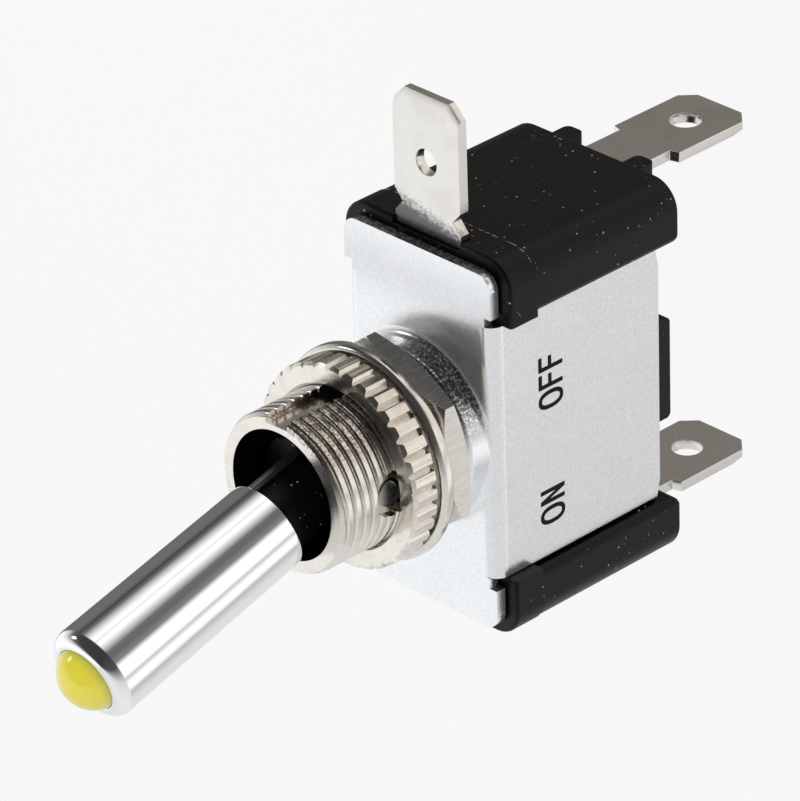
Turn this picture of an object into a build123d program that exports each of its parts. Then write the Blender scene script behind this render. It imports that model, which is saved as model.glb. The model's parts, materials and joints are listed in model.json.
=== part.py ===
from build123d import *
import math
import os

# Panel toggle switch with a lamp in the end of its lever, millimetres, +Z out of the panel.
# The origin is on the bushing axis, at the face of the hex nut where the panel sits.
# X is the hinge line of the lever, and the lever leans towards -Y in its on position.

# Sizes of the bracket
sheet = 0.8                    # thickness of the bracket and of all three blades
boss_height = 2.1              # raised seat of the bushing above the front plate
boss_radius = 6.65
boss_foot_round = 0.7
ear_half_width = 7.07
ear_half_height = 13.9
ear_corner = 1.2
side_half_width = 7.11         # outer face of the side plates
side_half_height = 9.87
side_depth = 16.4              # from the front of the plate to the back edge of the sides
bend_radius = 1.2
relief_width = 0.8             # slot that frees the bend from the ears
relief_depth = 0.7
side_corner_run = 1.35
side_corner_drop = 0.3

# Sizes of the bushing and of what is threaded on it
hex_thick = 2.4
hex_across_flats = 14.0
hex_turn = 8.8
hex_face_margin = 0.3          # from a flat to the round face inside it
hex_corner_drop = 0.8
ring_thick = 1.15
ring_width = 2.05              # from the thread to the outer edge of the face ring
ring_round = 0.42
knurl_thick = 2.37
knurl_radius = 7.65
knurl_tooth_depth = 0.46
knurl_teeth = 36
knurl_crest_share = 0.4        # flat part of each tooth
knurl_front_bevel = 0.5
knurl_groove = 0.3
nut_mouth = 0.15
bushing_radius = 5.95
rim_past_pivot = 4.93
bushing_end_chamfer = 0.45
bushing_bore = 4.83
lower_bore = 4.2
spigot_radius = 4.97
stake_radius = 5.5
stake_thick = 0.4
keyway_width = 2.15
keyway_floor = 5.25            # distance of the flat bottom from the axis
bushing_turn = 2.6             # keyway and counterbores sit this far round from the hinge line
counterbore_radius = 1.65
counterbore_floor = 5.35

# Sizes of the lever
pivot_height = 8.34            # above the front plate
lean = 15.3
sleeve_start = 6.6             # distances along the lever count from the hinge line
sleeve_end = 24.1
sleeve_root_radius = 3.315
sleeve_tip_radius = 3.48
lamp_opening = 2.45
lamp_seat = 18.1
stem_radius = 2.7
barrel_radius = 4.65
barrel_top = 2.2
barrel_bottom = -2.5
arm_radius = 1.9
arm_past_plate = 1.16          # end of the arm below the front plate
pin_radius = 1.0
lamp_base = 17.0
lamp_tip = 25.8
lamp_flange_radius = 2.75
core_end = 14.5
lead_radius = 0.22
lead_offset = 1.6
wire_radius = 0.35
wire_side = -0.6
wire_sunk = 0.15               # part of the wire that lies in its groove
wire_into_barrel = 1.2

# Sizes of the contact gear
plunger_radius = 1.2
tip_above_rocker = 0.74        # end of the rounded tip above the hinge of the rocker
plunger_top = -6.0
spring_turns = 5
spring_wire = 0.18
spring_spigot = 1.2            # pin of the plunger inside the spring
hinge_spacing = 17.74          # from the hinge of the lever down to that of the rocker
rocker_lean = 8.0
rocker_gap = 0.1               # between the plunger tip and the dished top
rocker_thick = 1.0
rocker_half_width = 2.2
dish_half_length = 4.6
arm_length = 4.0
arm_thick = 0.9
trunnion_radius = 0.5
ear_thick = 0.7
ear_play = 0.15                # beside the rocker
cradle_half = 1.5
contact_radius = 1.3
contact_thick = 0.7
contact_share = 0.55           # place of the moving contact along its arm
contact_gap = 0.02
fixed_contact_height = 0.66
fixed_contact_radius = 1.5

# Sizes of the moulded housing
head_half_width = 8.0
head_outer = 14.7
head_inner = 10.15
head_corner = 2.2
head_past_sides = 1.2          # back of the heads and of the middle block, behind the side plates
body_past_sides = 0.4
head_front = 1.0
front_block_depth = 3.6        # back of the slightly proud block at the front of each head
front_block_proud = 0.05
front_block_inner = 9.95
outer_edge_round = 0.25
inner_edge_round = 0.65
card_thick = 0.4
block_half_height = 4.0
block_end_round = 0.4
cavity_half_width = 4.4
cavity_half_height = 9.2
cavity_room = 4.2              # from the hinge line of the rocker down to the floor
ledge_start = 5.2
bump_middle = 0.13
bump_spacing = 6.8
bump_width = 1.65
bump_height = 1.5
bump_thick = 1.05
bump_round = 0.5
rest_overlap = 0.7             # length of the rocker that lies over each rest
rest_half_length = 1.4

# Sizes of the blades
blade_half_width = 3.15
load_face = 13.5               # outer face of the load blade
load_tip = 30.36
supply_face = 13.93
supply_tip = 30.3
blade_hole_radius = 1.15
blade_hole_from_tip = 3.55
blade_tip_cut = 1.05
tip_bevel_length = 0.7
tip_bevel_depth = 0.2
blade_neck_half = 2.42
shoulder = 22.8                # where the rear blades widen, behind the front plate
shoulder_slope = 0.2
ground_front = 1.25
ground_tip = 24.8
ground_hole_height = 19.8
ground_hole_radius = 1.0
ground_neck_low = 15.2
ground_neck_high = 16.9
ground_foot_low = 10.9
ground_foot_high = 13.0
ground_foot_half = 4.4
dimple_radius = 0.9

# Clearances
slip = 0.03                    # between round pieces that are pushed together
running = 0.05                 # round a piece that turns
pocket_gap = 0.08              # round a blade in its slot
side_gap = 0.06                # between the housing and the side plates
card_gap = 0.5                 # from the card to the ends of the side plates
opening_gap = 0.3              # round the swinging arm

# Heights that follow from the stack
plate = -(boss_height + hex_thick)
boss_top = plate + boss_height
pivot = plate + pivot_height
rim = pivot + rim_past_pivot
rocker_pivot = pivot - hinge_spacing
knurl_back = ring_thick + slip
knurl_front = knurl_back + knurl_thick
lean_rad = math.radians(lean)
plate_inside = side_half_width - sheet
sides_back = plate - side_depth
head_back = sides_back - head_past_sides
body_back = sides_back - body_past_sides
cavity_floor = rocker_pivot - cavity_room
blade_gap_half = blade_half_width + pocket_gap
neck_gap_half = blade_neck_half + pocket_gap
ring_radius = bushing_radius + ring_width
pin_half_length = counterbore_floor - running
arm_end = -pivot_height - arm_past_plate
plunger_reach = hinge_spacing - tip_above_rocker


def block(x0, x1, y0, y1, z0, z1):
    middle = ((x0 + x1) / 2, (y0 + y1) / 2, (z0 + z1) / 2)
    return Pos(*middle) * Box(x1 - x0, y1 - y0, z1 - z0)


def round_bar(radius, z0, z1, x=0.0, y=0.0):
    return Pos(x, y, (z0 + z1) / 2) * Cylinder(radius, z1 - z0)


def cross_bar(radius, x0, x1, y, z):
    return Pos((x0 + x1) / 2, y, z) * Rot(0, 90, 0) * Cylinder(radius, x1 - x0)


def turned(points):
    outline = Polyline(*[(r, 0, z) for r, z in points], close=True)
    return revolve(make_face(outline), Axis.Z, 360)


def slab(points, plane, thickness):
    face = make_face(plane * Polyline(*points, close=True))
    return extrude(face, thickness, dir=plane.z_dir)


def leaned(solid):
    return Pos(0, 0, pivot) * Rot(lean, 0, 0) * solid


# Bracket: a channel with two ears, its front drawn up into the seat of the bushing
channel = block(-side_half_width, side_half_width, -side_half_height, side_half_height,
                sides_back, plate)
outer_bends = channel.edges().filter_by(Axis.Y).group_by(Axis.Z)[-1]
channel = fillet(outer_bends, bend_radius)
hollow = block(-plate_inside, plate_inside, -side_half_height - 1, side_half_height + 1,
               sides_back - 1, plate - sheet)
inner_bends = hollow.edges().filter_by(Axis.Y).group_by(Axis.Z)[-1]
channel -= fillet(inner_bends, bend_radius - sheet)
ears = block(-ear_half_width, ear_half_width, -ear_half_height, ear_half_height,
             plate - sheet, plate)
ears = fillet(ears.edges().filter_by(Axis.Z), ear_corner)
inner_half = ear_half_width - relief_depth
middle_cut = block(-ear_half_width - 1, ear_half_width + 1, -side_half_height,
                   side_half_height, plate - sheet - 1, plate + 1)
ears -= middle_cut
bracket = channel + ears
for side in (-1, 1):
    for end in (-1, 1):
        near = end * side_half_height
        far = end * (side_half_height + relief_width)
        x_in = side * inner_half
        x_out = side * (side_half_width + 1)
        bracket -= block(min(x_in, x_out), max(x_in, x_out), min(near, far),
                         max(near, far), plate - sheet - 1, plate + 1)
        corner = [
            (end * side_half_height, sides_back),
            (end * (side_half_height - side_corner_run), sides_back),
            (end * side_half_height, sides_back + side_corner_drop),
        ]
        cutter = slab(corner, Plane.YZ, side_half_width + 1)
        bracket -= cutter if side > 0 else mirror(cutter, Plane.YZ)
boss = round_bar(boss_radius, plate - sheet, boss_top)
bracket += boss
foot = bracket.edges().filter_by(GeomType.CIRCLE).filter_by(
    lambda e: abs(e.radius - boss_radius) < 0.01 and abs(e.center().Z - plate) < 0.01)
bracket = fillet(foot, boss_foot_round)
crown = bracket.edges().filter_by(GeomType.CIRCLE).filter_by(
    lambda e: abs(e.radius - boss_radius) < 0.01 and abs(e.center().Z - boss_top) < 0.01)
bracket = fillet(crown, boss_foot_round)
bracket -= round_bar(boss_radius - sheet, plate - sheet - 1, boss_top - sheet)
bracket -= round_bar(spigot_radius + slip, plate, boss_top + 1)

# Bushing: a threaded tube with a keyway, staked through the seat from behind
bushing = turned([
    (lower_bore, boss_top - sheet - stake_thick),
    (stake_radius, boss_top - sheet - stake_thick),
    (stake_radius, boss_top - sheet),
    (spigot_radius, boss_top - sheet),
    (spigot_radius, boss_top),
    (bushing_radius, boss_top),
    (bushing_radius, rim - bushing_end_chamfer),
    (bushing_radius - bushing_end_chamfer / 2, rim),
    (bushing_bore, rim),
    (bushing_bore, boss_top + hex_thick + slip),
    (lower_bore, boss_top + hex_thick + slip - (bushing_bore - lower_bore)),
])
keyway = block(-keyway_width / 2, keyway_width / 2, keyway_floor, bushing_radius + 1,
               boss_top - 1, rim + 1)
bushing -= Rot(0, 0, bushing_turn) * (keyway - round_bar(spigot_radius, boss_top - 2, boss_top))
for side in (0, 180):
    mouth = cross_bar(counterbore_radius, counterbore_floor, bushing_radius + 1, 0, pivot)
    bushing -= Rot(0, 0, bushing_turn + side) * mouth
bushing -= cross_bar(pin_radius + slip, -bushing_radius - 1, bushing_radius + 1, 0, pivot)

# Hinge pin of the lever, fixed in the bushing
pivot_pin = cross_bar(pin_radius, -pin_half_length, pin_half_length, 0, pivot)
pivot_pin = chamfer(pivot_pin.edges().filter_by(GeomType.CIRCLE), 0.15)

# Hex nut behind the panel, both faces chamfered at the corners
hex_corner = hex_across_flats / math.sqrt(3)
hex_points = []
for k in range(6):
    angle = math.radians(30 + 60 * k + hex_turn)
    hex_points.append((hex_corner * math.cos(angle), hex_corner * math.sin(angle)))
hex_nut = slab(hex_points, Plane.XY.offset(boss_top), hex_thick)
hex_face_radius = hex_across_flats / 2 - hex_face_margin
hex_nut &= turned([
    (0, boss_top),
    (hex_face_radius, boss_top),
    (hex_corner + 0.05, boss_top + hex_corner_drop),
    (hex_corner + 0.05, boss_top + hex_thick - hex_corner_drop),
    (hex_face_radius, boss_top + hex_thick),
    (0, boss_top + hex_thick),
])
hex_nut -= turned([
    (0, boss_top - 1),
    (bushing_radius + slip + nut_mouth, boss_top - 1),
    (bushing_radius + slip + nut_mouth, boss_top),
    (bushing_radius + slip, boss_top + nut_mouth),
    (bushing_radius + slip, boss_top + hex_thick - nut_mouth),
    (bushing_radius + slip + nut_mouth, boss_top + hex_thick),
    (bushing_radius + slip + nut_mouth, boss_top + hex_thick + 1),
    (0, boss_top + hex_thick + 1),
])

# Face ring with a tab that runs in the keyway
ring = round_bar(ring_radius, 0, ring_thick)
ring = fillet(ring.edges().filter_by(GeomType.CIRCLE), ring_round)
ring -= round_bar(bushing_radius + slip, -1, ring_thick + 1)
tab = block(-keyway_width / 2 + pocket_gap, keyway_width / 2 - pocket_gap,
            keyway_floor + pocket_gap, bushing_radius + slip + 0.3, 0, ring_thick)
ring += Rot(0, 0, bushing_turn) * tab

# Knurled nut: straight teeth cut all round, chamfered at the front
tooth_points = []
root_radius = knurl_radius - knurl_tooth_depth
crest_start = (1 - knurl_crest_share) / 2
pitch = 2 * math.pi / knurl_teeth
for k in range(knurl_teeth):
    for share, radius in ((0, root_radius), (crest_start, knurl_radius),
                          (1 - crest_start, knurl_radius)):
        angle = (k + share) * pitch
        tooth_points.append((radius * math.cos(angle), radius * math.sin(angle)))
knurled_nut = slab(tooth_points, Plane.XY.offset(knurl_back), knurl_thick)
knurled_nut &= turned([
    (0, knurl_back),
    (root_radius, knurl_back),
    (root_radius, knurl_back + knurl_groove),
    (knurl_radius + 0.05, knurl_back + knurl_groove),
    (knurl_radius + 0.05, knurl_front - knurl_front_bevel),
    (root_radius - 0.05, knurl_front),
    (0, knurl_front),
])
knurled_nut -= turned([
    (0, knurl_back - 1),
    (bushing_radius + slip, knurl_back - 1),
    (bushing_radius + slip, knurl_front - nut_mouth),
    (bushing_radius + slip + nut_mouth, knurl_front),
    (bushing_radius + slip + nut_mouth, knurl_front + 1),
    (0, knurl_front + 1),
])

# Lever: a plated sleeve over a black core that turns on the pin
end_round = sleeve_tip_radius - lamp_opening - slip
sleeve_bore = lamp_flange_radius + 2 * slip
sleeve = turned([
    (sleeve_bore, sleeve_start),
    (sleeve_root_radius, sleeve_start),
    (sleeve_tip_radius, sleeve_end),
    (lamp_opening, sleeve_end),
    (lamp_opening, lamp_seat + slip),
    (sleeve_bore, lamp_seat + slip),
])
lip = sleeve.edges().filter_by(GeomType.CIRCLE).sort_by(lambda e: e.center().Z + e.radius)[-1]
sleeve = fillet(lip, end_round)

lamp_radius = lamp_opening - slip
lamp_rise = lamp_tip - sleeve_end
dome_radius = (lamp_radius ** 2 + lamp_rise ** 2) / (2 * lamp_rise)
lamp = round_bar(lamp_radius, lamp_base, lamp_tip)
lamp += round_bar(lamp_flange_radius, lamp_base, lamp_seat)
dome = Pos(0, 0, lamp_tip - dome_radius) * Sphere(dome_radius)
lamp &= dome + round_bar(lamp_flange_radius + 1, lamp_base - 1, sleeve_end)

core = round_bar(stem_radius, 0, core_end)
barrel = Sphere(barrel_radius)
barrel &= round_bar(barrel_radius + 1, barrel_bottom, barrel_top)
core += barrel
core += round_bar(arm_radius, arm_end, 0)
plunger_bore = plunger_radius + running
spring_seat = barrel_bottom + lead_radius
core -= round_bar(plunger_bore, arm_end - 1, spring_seat)
core -= cross_bar(pin_radius + running, -barrel_radius - 1, barrel_radius + 1, 0, 0)
wire_height = stem_radius + wire_radius - wire_sunk
wire_end = barrel_top - wire_into_barrel
core -= round_bar(wire_radius + slip, wire_end - slip, sleeve_start + 1, wire_side, wire_height)
core -= round_bar(lead_radius + slip, spring_seat - lead_offset, core_end + 1, 0, -lead_offset)

foot_height = spring_seat - lead_radius - slip
ground_wire = round_bar(wire_radius, wire_end, sleeve_start, wire_side, wire_height)
supply_lead = round_bar(lead_radius, foot_height - lead_radius, lamp_base, 0, -lead_offset)
foot_bar = Rot(90, 0, 0) * Cylinder(lead_radius, lead_offset)
supply_lead += Pos(0, -lead_offset / 2, foot_height) * foot_bar
bend_height = (core_end + lamp_base) / 2
ground_lead = round_bar(lead_radius, bend_height - lead_radius, lamp_base, 0, lead_offset)
reach = sleeve_bore - lead_offset
ground_lead += Pos(0, lead_offset + reach / 2, bend_height) * Rot(90, 0, 0) * Cylinder(
    lead_radius, reach)
ground_lead &= round_bar(sleeve_bore, 0, lamp_base)
core -= block(-lead_radius - slip, lead_radius + slip, -lead_offset, plunger_bore / 2,
              foot_height - lead_radius - slip, spring_seat)

# Sprung plunger in the bottom of the lever
tip_centre = plunger_reach - plunger_radius
plunger = round_bar(plunger_radius, -tip_centre, plunger_top)
plunger += Pos(0, 0, -tip_centre) * Sphere(plunger_radius)
spigot_top = plunger_top + spring_spigot
plunger += round_bar(plunger_radius / 2, plunger_top, spigot_top)
coil_radius = plunger_radius - spring_wire - running
coil_low = plunger_top + spring_wire
coil_high = foot_height - lead_radius - spring_wire
coil_pitch = (coil_high - coil_low) / spring_turns
helix = Pos(0, 0, coil_low) * Helix(coil_pitch, coil_high - coil_low, coil_radius)
wire_plane = Plane(origin=helix @ 0, z_dir=helix % 0)
spring = sweep(wire_plane * RegularPolygon(spring_wire, 6), path=helix, is_frenet=True)

# Rocker: a dished bar; its curve follows the plunger tip as both of them turn
drop = rocker_pivot - pivot
low_rise = -drop - tip_centre
end_y = tip_centre * math.sin(lean_rad)
end_z = -drop - tip_centre * math.cos(lean_rad)
tilt = math.radians(rocker_lean)
far_y = end_y * math.cos(tilt) - end_z * math.sin(tilt)
far_z = end_y * math.sin(tilt) + end_z * math.cos(tilt)
climb = far_z - low_rise
path_radius = (far_y ** 2 + climb ** 2) / (2 * climb)
dish_centre = low_rise + path_radius
dish_radius = path_radius + plunger_radius + rocker_gap
dish_low = dish_centre - dish_radius
dish_end = dish_centre - math.sqrt(dish_radius ** 2 - dish_half_length ** 2)
arm_out = arm_length * math.cos(tilt)
arm_up = arm_length * math.sin(tilt)
outer_y = dish_half_length + arm_out
outer_z = dish_end + arm_up
under_y = dish_half_length + arm_thick / 2
under_z = dish_end - arm_thick * math.cos(tilt)
under_z += (under_y - dish_half_length - arm_thick * math.sin(tilt)) * math.tan(tilt)
low_y = outer_y + arm_thick * math.sin(tilt)
low_z = outer_z - arm_thick * math.cos(tilt)
top_arc = ThreePointArc((-dish_half_length, dish_end), (0, dish_low), (dish_half_length, dish_end))
right_arm = Polyline((dish_half_length, dish_end), (outer_y, outer_z), (low_y, low_z),
                     (under_y, under_z))
under_arc = ThreePointArc((under_y, under_z), (0, dish_low - rocker_thick),
                          (-under_y, under_z))
left_arm = Polyline((-under_y, under_z), (-low_y, low_z), (-outer_y, outer_z),
                    (-dish_half_length, dish_end))
outline = Plane.YZ * make_face([*top_arc.edges(), *right_arm.edges(), *under_arc.edges(),
                                *left_arm.edges()])
rocker = extrude(outline, rocker_half_width, both=True)
ear_inner = rocker_half_width + ear_play
trunnion_end = ear_inner + ear_thick + ear_play
rocker += cross_bar(trunnion_radius, -trunnion_end, trunnion_end, 0, 0)
contact_reach = arm_length * contact_share
contact_y = dish_half_length + contact_reach * math.cos(tilt) + arm_thick * math.sin(tilt)
contact_z = dish_end + contact_reach * math.sin(tilt) - arm_thick * math.cos(tilt)
button = round_bar(contact_radius, -contact_thick, 0)
button = fillet(button.edges().group_by(Axis.Z)[0], contact_thick / 3)
moving_contact = Pos(0, contact_y, contact_z) * Rot(rocker_lean, 0, 0) * button
seat = Pos(0, 0, rocker_pivot) * Rot(-rocker_lean, 0, 0)
rocker = seat * rocker
moving_contact = seat * moving_contact
face_y = contact_y * math.cos(tilt) + contact_z * math.sin(tilt)
face_z = rocker_pivot - contact_y * math.sin(tilt) + contact_z * math.cos(tilt)
face_z -= contact_thick

# Load blade, with the fixed contact on its inner arm
fixed_face = face_z - contact_gap
load_arm_top = fixed_face - fixed_contact_height
ledge_floor = load_arm_top - sheet
fixed_contact = round_bar(fixed_contact_radius, load_arm_top, fixed_face, 0, face_y)
fixed_contact = fillet(fixed_contact.edges().group_by(Axis.Z)[-1], 0.2)


def coined(blade, axis, reach):
    # bevels both faces of a blade along its tip and its two corner cuts
    for face in blade.faces().filter_by(axis).sort_by(SortBy.AREA)[-2:]:
        tips = face.edges().filter_by(reach)
        blade = chamfer(tips, tip_bevel_length, tip_bevel_depth, reference=face)
    return blade


def rear_blade(face_y, tip):
    half = blade_half_width
    cut = blade_tip_cut
    right = [
        (blade_neck_half, ledge_floor),
        (blade_neck_half, plate - shoulder + shoulder_slope),
        (half, plate - shoulder),
        (half, plate - tip + cut),
        (half - cut, plate - tip),
    ]
    left = [(-x, z) for x, z in reversed(right)]
    face = make_face(Plane.XZ * Polyline(*right, *left, close=True))
    blade = Pos(0, face_y, 0) * extrude(face, sheet, dir=(0, -1, 0))
    blade = coined(blade, Axis.Y, lambda e: e.center().Z < plate - tip + cut - 0.01)
    hole = Pos(0, face_y, plate - tip + blade_hole_from_tip) * Rot(90, 0, 0) * Cylinder(
        blade_hole_radius, 4 * sheet)
    return blade - hole


load_blade = rear_blade(load_face, load_tip)
load_blade += block(-blade_neck_half, blade_neck_half, ledge_start + 0.2, load_face,
                    ledge_floor, load_arm_top)

# Supply blade, whose inner strip carries the cradle of the rocker
supply_inner = -supply_face + sheet
supply_blade = rear_blade(supply_inner, supply_tip)
strip_top = cavity_floor + sheet
supply_blade -= block(-blade_half_width - 1, blade_half_width + 1, -supply_face - 1,
                      supply_inner + 1, strip_top, plate)
strip_half = ear_inner + ear_thick
supply_blade += block(-blade_neck_half, blade_neck_half, -supply_face, 0,
                      cavity_floor, strip_top)
for side in (-1, 1):
    x_low = min(side * ear_inner, side * strip_half)
    x_high = max(side * ear_inner, side * strip_half)
    ear = block(x_low, x_high, -cradle_half, cradle_half, cavity_floor,
                rocker_pivot + trunnion_radius)
    supply_blade += ear
supply_blade += block(-strip_half, strip_half, -cradle_half, cradle_half,
                      cavity_floor, strip_top)
notch = trunnion_radius + running
supply_blade -= cross_bar(notch, -strip_half - 1, strip_half + 1, 0, rocker_pivot)
supply_blade -= block(-strip_half - 1, strip_half + 1, -notch, notch, rocker_pivot,
                      rocker_pivot + 2)

# Ground blade, its dimple pressed against the back of the front plate
half = blade_half_width
cut = blade_tip_cut
middle = (ground_neck_low + ground_neck_high) / 2
right = [
    (ground_foot_half, ground_foot_low),
    (ground_foot_half, ground_foot_high),
    (half, ground_foot_high),
    (half, ground_neck_low),
    (blade_neck_half, middle),
    (half, ground_neck_high),
    (half, ground_tip - cut),
    (half - cut, ground_tip),
]
left = [(-x, y) for x, y in reversed(right)]
ground_blade = slab(right + left, Plane.XY.offset(plate - ground_front - sheet), sheet)
ground_blade = coined(ground_blade, Axis.Z, lambda e: e.center().Y > ground_tip - cut + 0.01)
ground_blade -= Pos(0, ground_hole_height, plate - ground_front) * Cylinder(
    ground_hole_radius, 4 * sheet)
foot_middle = (ground_foot_low + ground_foot_high) / 2
dimple_height = ground_front - sheet
dimple_sphere = (dimple_radius ** 2 + dimple_height ** 2) / (2 * dimple_height)
dimple = Pos(0, foot_middle, plate - sheet - dimple_sphere) * Sphere(dimple_sphere)
dimple &= round_bar(ground_foot_half, plate - ground_front - sheet / 2, plate, 0, foot_middle)
ground_blade += dimple

# Housing: a box between the side plates with two wide heads, moulded in one
body_front = plate - sheet - card_thick
body_half_width = plate_inside - side_gap
housing = block(-body_half_width, body_half_width, -head_inner, head_inner,
                body_back, body_front)
block_half_width = side_half_width - side_gap
middle_block = block(-block_half_width, block_half_width, -block_half_height,
                     block_half_height, head_back, sides_back - side_gap)
middle_back = middle_block.faces().sort_by(Axis.Z)[0]
housing += fillet(middle_back.edges().filter_by(Axis.X), block_end_round)
for end in (-1, 1):
    head = block(-head_half_width, head_half_width, head_inner, head_outer,
                 head_back, plate - head_front - front_block_depth / 2)
    far_edges = head.edges().filter_by(Axis.Z).group_by(Axis.Y)[-1]
    head = fillet(far_edges, head_corner)
    rear = head.faces().sort_by(Axis.Z)[0].edges()
    head = fillet(rear.filter_by(lambda e: e.center().Y > head_inner + 0.01), outer_edge_round)
    rear = head.faces().sort_by(Axis.Z)[0].edges().filter_by(Axis.X).sort_by(Axis.Y)[0]
    head = fillet(rear, inner_edge_round)
    wide = head_half_width + front_block_proud
    front = block(-wide, wide, front_block_inner, head_outer + front_block_proud,
                  plate - front_block_depth, plate - head_front)
    front = fillet(front.edges().filter_by(Axis.Z).group_by(Axis.Y)[-1], head_corner)
    front_rim = front.faces().sort_by(Axis.Z)[-1].edges().filter_by(
        lambda e: e.center().Y > head_inner + 0.01)
    front = fillet(front_rim, outer_edge_round)
    head += front
    if end < 0:
        head = mirror(head, Plane.XZ)
    housing += head

# Hollows of the housing: the contact chamber and the pockets of the blades
housing -= block(-cavity_half_width, cavity_half_width, -cavity_half_height, ledge_start,
                 cavity_floor, plate)
housing -= block(-cavity_half_width, cavity_half_width, ledge_start - 1, cavity_half_height,
                 ledge_floor, plate)
housing -= block(-neck_gap_half, neck_gap_half, cavity_half_height - 1,
                 load_face + pocket_gap, ledge_floor, plate)
housing -= block(-neck_gap_half, neck_gap_half, load_face - sheet - pocket_gap,
                 load_face + pocket_gap, head_back - 1, ledge_floor + 1)
housing -= block(-neck_gap_half, neck_gap_half, -supply_face - pocket_gap,
                 1 - cavity_half_height, cavity_floor, plate)
housing -= block(-neck_gap_half, neck_gap_half, -supply_face - pocket_gap,
                 supply_inner + pocket_gap, head_back - 1, cavity_floor + 1)
slot_back = plate - ground_front - sheet - pocket_gap
slot_front = plate - ground_front + pocket_gap
housing -= block(-blade_gap_half, blade_gap_half, ground_foot_high - 1, head_outer + 1,
                 slot_back, slot_front)
housing -= block(-ground_foot_half - pocket_gap, ground_foot_half + pocket_gap,
                 ground_foot_low - pocket_gap, ground_foot_high + pocket_gap, slot_back, plate)
housing -= block(-blade_gap_half, blade_gap_half, ear_half_height + opening_gap,
                 head_outer + 1, slot_back, plate)

# Rests for the raised arm of the rocker, and two bumps behind the load blade
rest_top = rocker_pivot - dish_half_length * math.sin(tilt) + dish_end * math.cos(tilt)
rest_top -= arm_thick + rocker_gap
for side in (-1, 1):
    x_near = side * (rocker_half_width - rest_overlap)
    x_far = side * (cavity_half_width + 0.2)
    housing += block(min(x_near, x_far), max(x_near, x_far), -cavity_half_height - 0.2,
                     -outer_y + rest_half_length, strip_top + pocket_gap, rest_top)
    x_mid = bump_middle + side * bump_spacing / 2
    bump = block(x_mid - bump_width / 2, x_mid + bump_width / 2, load_face + pocket_gap,
                 load_face + pocket_gap + bump_thick, head_back - bump_height, head_back + 1)
    bump = fillet(bump.edges().filter_by(Axis.Y).group_by(Axis.Z)[0], bump_round)
    housing += bump

# Card that closes the chamber, with a slot for the swinging arm
card_half_width = plate_inside - (bend_radius - sheet)
card_half_height = side_half_height - card_gap
card = block(-card_half_width, card_half_width, -card_half_height, card_half_height,
             body_front, plate - sheet)
arm_swing = (pivot - body_front) * math.tan(lean_rad)
slot_half = arm_radius / math.cos(lean_rad) + opening_gap
card -= block(-slot_half, slot_half, -arm_swing, arm_swing, body_front - 1, plate)
for end in (-1, 1):
    card -= round_bar(slot_half, body_front - 1, plate, 0, end * arm_swing)

pieces = {
    "bracket": bracket,
    "housing": housing,
    "insulator_card": card,
    "bushing": bushing,
    "pivot_pin": pivot_pin,
    "hex_nut": hex_nut,
    "face_ring": ring,
    "knurled_nut": knurled_nut,
    "terminal_load": load_blade,
    "fixed_contact": fixed_contact,
    "terminal_supply": supply_blade,
    "terminal_ground": ground_blade,
    "lever_sleeve": leaned(sleeve),
    "lever_core": leaned(core),
    "led_lamp": leaned(lamp),
    "ground_wire": leaned(ground_wire),
    "lead_supply": leaned(supply_lead),
    "lead_ground": leaned(ground_lead),
    "plunger": leaned(plunger),
    "plunger_spring": leaned(spring),
    "rocker": rocker,
    "moving_contact": moving_contact,
}

os.makedirs("parts", exist_ok=True)
for name, solid in pieces.items():
    export_step(solid, os.path.join("parts", name + ".step"))
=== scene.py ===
import bpy
import bmesh
import json
import math
from mathutils import Matrix, Vector


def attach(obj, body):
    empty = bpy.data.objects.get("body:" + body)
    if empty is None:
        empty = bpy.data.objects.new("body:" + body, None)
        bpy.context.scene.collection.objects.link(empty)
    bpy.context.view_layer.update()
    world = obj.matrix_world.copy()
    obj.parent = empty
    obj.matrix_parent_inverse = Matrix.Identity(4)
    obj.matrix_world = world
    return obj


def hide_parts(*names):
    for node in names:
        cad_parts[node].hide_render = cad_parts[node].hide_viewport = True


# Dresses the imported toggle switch. Metres, +Z out of the panel, the lever leans towards -Y.

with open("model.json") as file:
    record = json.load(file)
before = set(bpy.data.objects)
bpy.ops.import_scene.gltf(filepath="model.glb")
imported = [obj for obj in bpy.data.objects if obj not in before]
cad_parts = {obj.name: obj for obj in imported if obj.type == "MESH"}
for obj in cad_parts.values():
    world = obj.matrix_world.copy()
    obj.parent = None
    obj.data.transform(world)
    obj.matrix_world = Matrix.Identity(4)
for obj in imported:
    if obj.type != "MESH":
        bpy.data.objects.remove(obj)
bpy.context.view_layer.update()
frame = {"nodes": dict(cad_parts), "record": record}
nodes = frame["nodes"]
mm = 0.001
pivotHeight = 3.84 * mm
print("frame loaded with", len(nodes), "nodes")


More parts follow.
